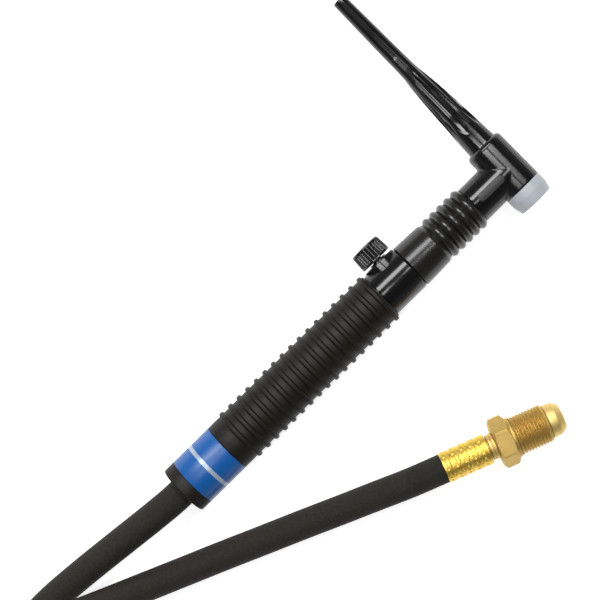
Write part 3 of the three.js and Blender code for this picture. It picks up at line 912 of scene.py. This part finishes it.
def tube_half(name, start, end):
    """One length of the tube, turned from its ringed profile and given the copper finish."""
    profile = [(TUBE_BORE, start), *rings(start, end, 60), (TUBE_BORE, end), (TUBE_BORE, start)]
    piece = turned(name, profile, handle_rear, X, 48)
    bend(piece, copper)
    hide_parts("neck_tube")


tube_half("tube_rear", TUBE_START, parting)
tube_half("tube_front", parting, TUBE_END)


# ---- Head jacket ----
# Glossy black phenolic moulded over the brass head: the end of the neck runs into the side of
# the short barrel, with a soft fillet between them and a shallow plain panel on each side.

head_low, head_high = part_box("cup_gasket")
head_centre = Vector(((head_low.x + head_high.x) / 2, handle_rear.y, handle_rear.z))
HEAD_X = (head_centre.x - handle_rear.x) / MM
HEAD_FRONT = -12.0
HEAD_BACK = 20.1
HEAD_RADIUS = 11.55
NECK_RADIUS = 11.6
PANEL_LENGTH = 18.5
PANEL_WIDTH = 4.5
PANEL_X = 236.0


def with_fillets(piece, voxel, passes):
    """Remeshes a joined shape evenly and smooths it, which rounds the corner where parts meet."""
    picked(piece)
    remesh = piece.modifiers.new("remesh", "REMESH")
    remesh.mode = "VOXEL"
    remesh.voxel_size = voxel
    smooth = piece.modifiers.new("smooth", "SMOOTH")
    smooth.factor = 0.5
    smooth.iterations = passes
    bpy.ops.object.modifier_apply(modifier=remesh.name)
    bpy.ops.object.modifier_apply(modifier=smooth.name)


barrel_profile = [
    (0, HEAD_FRONT), (HEAD_RADIUS - 0.4, HEAD_FRONT),
    *arc(HEAD_RADIUS - 0.3, HEAD_FRONT + 0.3, 0.3, -80, 0, 3),
    *arc(HEAD_RADIUS - 3, HEAD_BACK - 3, 3, 0, 72, 8), (0, HEAD_BACK),
]
neck_profile = [
    (5.5, BELLOWS_END + 0.1), (NECK_RADIUS - 0.3, BELLOWS_END + 0.1), (NECK_RADIUS, BELLOWS_END + 0.4),
    (NECK_RADIUS, HEAD_X), (5.5, HEAD_X), (5.5, BELLOWS_END + 0.1),
]
jacket = turned("jacket", neck_profile, handle_rear, X, 96)
head_hollow = [(0, -14), (8.3, -14), (8.3, 12.1), (9.4, 12.1), (9.4, 22), (0, 22)]
boolean(jacket, turned("barrel", barrel_profile, head_centre, Y, 96), "UNION")
boolean(jacket, turned("head_hollow", head_hollow, head_centre, Y, 96), "DIFFERENCE")
with_fillets(jacket, 0.3 * MM, 14)
head_gloss = gloss_finish("head_gloss", 0.13, 0.008 * MM)


def stadium(name, side, length, width, low, high):
    """A flat block with round ends that lies across the neck's top or underside."""
    foot = handle_rear + (X * PANEL_X + Vector((0, 0, side)) * (low + high) / 2) * MM
    deselect()
    bpy.ops.mesh.primitive_cylinder_add(
        vertices=64, radius=width / 2 * MM, depth=(high - low) * MM, location=foot)
    block = bpy.context.object
    block.name = name
    bpy.ops.object.transform_apply(location=True, rotation=True, scale=True)
    stretch = (length - width) / 2 * MM
    for vertex in block.data.vertices:
        vertex.co.x += math.copysign(stretch, vertex.co.x - foot.x)
    return block


def panel_finish():
    finish = Finish("panel_black", (0.012, 0.012, 0.012), 0.5)
    etched = finish.noise(0.7 * MM, 3)
    finish.set("Base Color", finish.mixed(etched, (0.008, 0.008, 0.008), (0.03, 0.03, 0.031)))
    finish.set("Roughness", 0.36 + etched * 0.2)
    finish.bumped(etched, 0.12 * MM)
    return finish.material


panel_black = panel_finish()
for name, side in (("panel_top", 1), ("panel_under", -1)):
    boolean(jacket, stadium("pocket", side, PANEL_LENGTH, PANEL_WIDTH, 10.7, 13), "DIFFERENCE")
    panel = stadium(name, side, PANEL_LENGTH - 0.3, PANEL_WIDTH - 0.3, 10.4, 10.95)
    rim = panel.modifiers.new("rim", "BEVEL")
    rim.width = 0.15 * MM
    rim.segments = 2
    rim.angle_limit = math.radians(40)
    bpy.ops.object.modifier_apply(modifier=rim.name)
    finished(panel, "head", "gloss_black", panel_black, smooth=60)
finished(jacket, "head", "gloss_black", head_gloss, "head_jacket", smooth=50)


# ---- Head body ----
# Copper alloy core of the head, bored and threaded through for the collet body in front and the
# back cap behind. It shows at the bottom of the gasket's bore.

CORE_BORE = 5.45
core_profile = [
    (CORE_BORE, -15.5), (5.9, -16), (7.4, -16), (7.6, -15.8), (7.6, -11.7), (8, -11.7), (8, 11.8),
    (CORE_BORE, 11.8), *[(CORE_BORE - 0.35 * (i % 2), 11.6 - 0.4 * i) for i in range(1, 67)],
    (CORE_BORE, -15.5),
]
head_core = turned("head_core", core_profile, head_centre, Y, 64)
finished(head_core, "head", "copper", copper, "head_body")


# ---- Cup gasket ----
# White fluoropolymer ring, slightly translucent, pushed on the front of the head. Its front
# face is the seat for the ceramic nozzle.

GASKET_FRONT = -22.8


def gasket_finish():
    finish = Finish("gasket_white", (0.62, 0.67, 0.7), 0.38, Subsurface_Weight=0.15)
    finish.set("Subsurface Radius", (0.004, 0.004, 0.0045))
    milky = finish.noise(5 * MM, 3)
    finish.set("Base Color", finish.mixed(milky, (0.36, 0.385, 0.42), (0.43, 0.455, 0.49)))
    finish.set("Roughness", 0.3 + milky * 0.15)
    turning = finish.along(Y) * (math.tau / (0.35 * MM))
    finish.bumped(turning.sine() * 0.5 + 0.5, 0.015 * MM, 0.5)
    return finish.material


gasket_profile = [
    (6.3, -16.3), (6.3, GASKET_FRONT + 0.4), (6.6, GASKET_FRONT), (9.8, GASKET_FRONT),
    *arc(9.85, GASKET_FRONT + 0.5, 0.5, -80, 0, 5), (11.55, GASKET_FRONT + 5.2),
    (11.6, GASKET_FRONT + 5.6), *arc(11.3, HEAD_FRONT - 0.35, 0.3, 0, 85, 4), (7.9, HEAD_FRONT - 0.05),
    (7.9, -16.3), (6.3, -16.3),
]
gasket = turned("gasket", gasket_profile, head_centre, Y, 96)
finished(gasket, "head", "gasket_white", gasket_finish(), "cup_gasket", smooth=30)


# ---- Back cap ----
# Long glossy phenolic cap that screws into the back of the head over the tungsten electrode. A
# slim stem flares to a broad base, and five long flutes sunk into the flare give fingers a hold.

CAP_TIP = 132.2
CAP_FLUTES = 5
FLARE_START = 112.1
FLARE_END = 30
FLARE_STATIONS = 130
CAP_FLARE = [
    (FLARE_START, 8.9), (106, 8.62), (101, 8.35), (94, 7.95), (87, 7.6), (81, 7.25), (74, 6.8), (67, 6.2),
    (61, 5.6), (57, 5.1), (53.5, 4.88),
]
GROOVE = 14.5
CUTTER = 3.2
FLUTE_FULL = 88
FLUTE_START = 45
RUN_OUT = 0.0136
EDGE = 0.5
FLUTE_PHASE = math.radians(15)


def stem_radius(from_tip):
    """The stem's slight taper."""
    return 4.1 + 0.0146 * from_tip


def flare_radius(from_tip):
    """The flare's radius, which runs straight from one of its stations to the next."""
    for (far, broad), (near, slim) in zip(CAP_FLARE, CAP_FLARE[1:]):
        if from_tip >= near:
            return slim + (broad - slim) * (from_tip - near) / (far - near)
    return stem_radius(from_tip)


def cap_profile():
    base = [(0, 126), (2.4, 126), (2.4, 19.3), (4.3, 19.3), (4.3, 12.3), (8.5, 12.3), (8.9, 12.7)]
    base += [(8.9, GROOVE - 1.1), (7.0, GROOVE - 1.1), (7.0, GROOVE + 1.1), (8.9, GROOVE + 1.1)]
    for i in range(FLARE_STATIONS + 1):
        from_tip = FLARE_START - (FLARE_START - FLARE_END) * i / FLARE_STATIONS
        base.append((flare_radius(from_tip), CAP_TIP - from_tip))
    base += [(stem_radius(from_tip), CAP_TIP - from_tip) for from_tip in (20, 10, 4)]
    return base + [*arc(3.1, CAP_TIP - 1, 1.0, 5, 90, 6), (0, CAP_TIP)]


def flute_floor(from_tip):
    """The bottom of a flute: level with the stem, then running out towards the base."""
    return stem_radius(from_tip) + RUN_OUT * max(0, from_tip - FLUTE_FULL) ** 2


def cap_flutes(radius, station, angle):
    """Cuts each flute as a round-nosed cutter does, and rounds the edges it leaves."""
    from_tip = CAP_TIP - station
    if station < 20 or radius < 4.3 or from_tip < FLUTE_START:
        return radius
    turn = (angle + FLUTE_PHASE) * CAP_FLUTES / math.tau
    off = (turn - round(turn)) * math.tau / CAP_FLUTES
    reach = flute_floor(from_tip) + CUTTER
    aside = min(abs(reach * math.sin(off)), CUTTER)
    cut = reach * math.cos(off) - math.sqrt(CUTTER ** 2 - aside ** 2)
    near = max(EDGE - abs(cut - radius), 0) / EDGE
    return min(cut, radius) - near * near * EDGE / 4


cap = turned("cap", cap_profile(), head_centre, Y, 360)
reshape(cap, head_centre, Y, cap_flutes)
cap_gloss = gloss_finish("cap_gloss", 0.1, 0.006 * MM)
finished(cap, "back_cap", "gloss_black", cap_gloss, "back_cap", smooth=75)


# ---- Pieces inside ----
# The valve body and its spindle, the cap's insert, the hose end inside the handle and the seals
# keep their plain machined shapes, each with its own metal or rubber.

inner_brass = brass_finish("inner_brass", (0.66, 0.46, 0.19), (0.55, 0.37, 0.14), 0.35, X, 9 * MM)
inner_hose = Finish("inner_hose", (0.022, 0.02, 0.0185), 0.62)
inner_hose.bumped(inner_hose.noise(0.9 * MM, 3), 0.06 * MM)
inner_hose.set("Roughness", 0.55 + inner_hose.noise(8 * MM, 3) * 0.15)
blackened = Finish("blackened_brass", (0.02, 0.018, 0.015), 0.4, 0.6)
blackened.set("Roughness", 0.32 + blackened.noise(1.5 * MM, 3) * 0.2)
seal = Finish("seal_rubber", (0.01, 0.01, 0.01), 0.5)
seal.set("Roughness", 0.42 + seal.noise(2 * MM, 3) * 0.2)
seal.bumped(seal.noise(0.4 * MM, 2), 0.02 * MM)

inside = {
    inner_brass: ("valve_body", "cap_insert", "cable_nut", "cable_nipple"),
    blackened.material: ("valve_stem",),
    ferrule_brass: ("cable_ferrule",),
    copper: ("power_core",),
    inner_hose.material: ("hose_in_handle",),
    seal.material: ("stem_o_ring", "cap_o_ring"),
}
for material, names in inside.items():
    for name in names:
        slots = frame["nodes"][name].data.materials
        slots.clear()
        slots.append(material)


# ---- Bench and light ----
# A white light table under soft studio light: a pale surround, and three long strip lights whose
# reflections draw the bright lines along the glossy parts.

bpy.ops.mesh.primitive_plane_add(size=12, location=(0, 0, 0))
floor = bpy.context.object
floor.name = "floor"
floor_finish = Finish("light_table", (0.6, 0.6, 0.6), 0.6, Emission_Strength=0.75)
floor_finish.set("Emission Color", (1, 1, 1))
floor_finish.set("Roughness", 0.55 + floor_finish.noise(0.3) * 0.1)
floor.data.materials.append(floor_finish.material)

world = bpy.data.worlds.new("studio")
bpy.context.scene.world = world
world.use_nodes = True
sky = world.node_tree
facing = sky.nodes.new("ShaderNodeTexCoord").outputs["Generated"]
height = sky.nodes.new("ShaderNodeSeparateXYZ")
falloff = sky.nodes.new("ShaderNodeMapRange")
sky.links.new(facing, height.inputs[0])
sky.links.new(height.outputs["Z"], falloff.inputs["Value"])
falloff.interpolation_type = "SMOOTHSTEP"
for socket, value in {"From Min": 0.15, "From Max": 0.7, "To Min": 0.24, "To Max": 0.04}.items():
    falloff.inputs[socket].default_value = value
sky.links.new(falloff.outputs["Result"], sky.nodes["Background"].inputs["Strength"])
sky.nodes["Background"].inputs["Color"].default_value = (1, 1, 1, 1)

view_middle = Vector((camera.location.x, camera.location.y, 0))


def strip_light(name, direction, distance, size, radiance):
    """A rectangular softbox that faces the torch; its power follows from its size."""
    light = bpy.data.lights.new(name, "AREA")
    light.shape = "RECTANGLE"
    light.size, light.size_y = size
    light.energy = radiance * math.pi * size[0] * size[1]
    holder = bpy.data.objects.new(name, light)
    bpy.context.scene.collection.objects.link(holder)
    holder.location = view_middle + Vector(direction).normalized() * distance
    holder.rotation_euler = (view_middle - holder.location).to_track_quat("-Z", "Y").to_euler()


strip_light("strip_handle", (0.1, 0.58, 1.0), 1.5, (1.5, 0.42), 12)
strip_light("strip_cap_left", (-0.25, 0.02, 1.0), 1.6, (0.16, 0.8), 14)
strip_light("strip_cap_right", (0.42, 0.02, 1.0), 1.6, (0.16, 0.8), 12)
bpy.context.scene.view_settings.view_transform = "Standard"
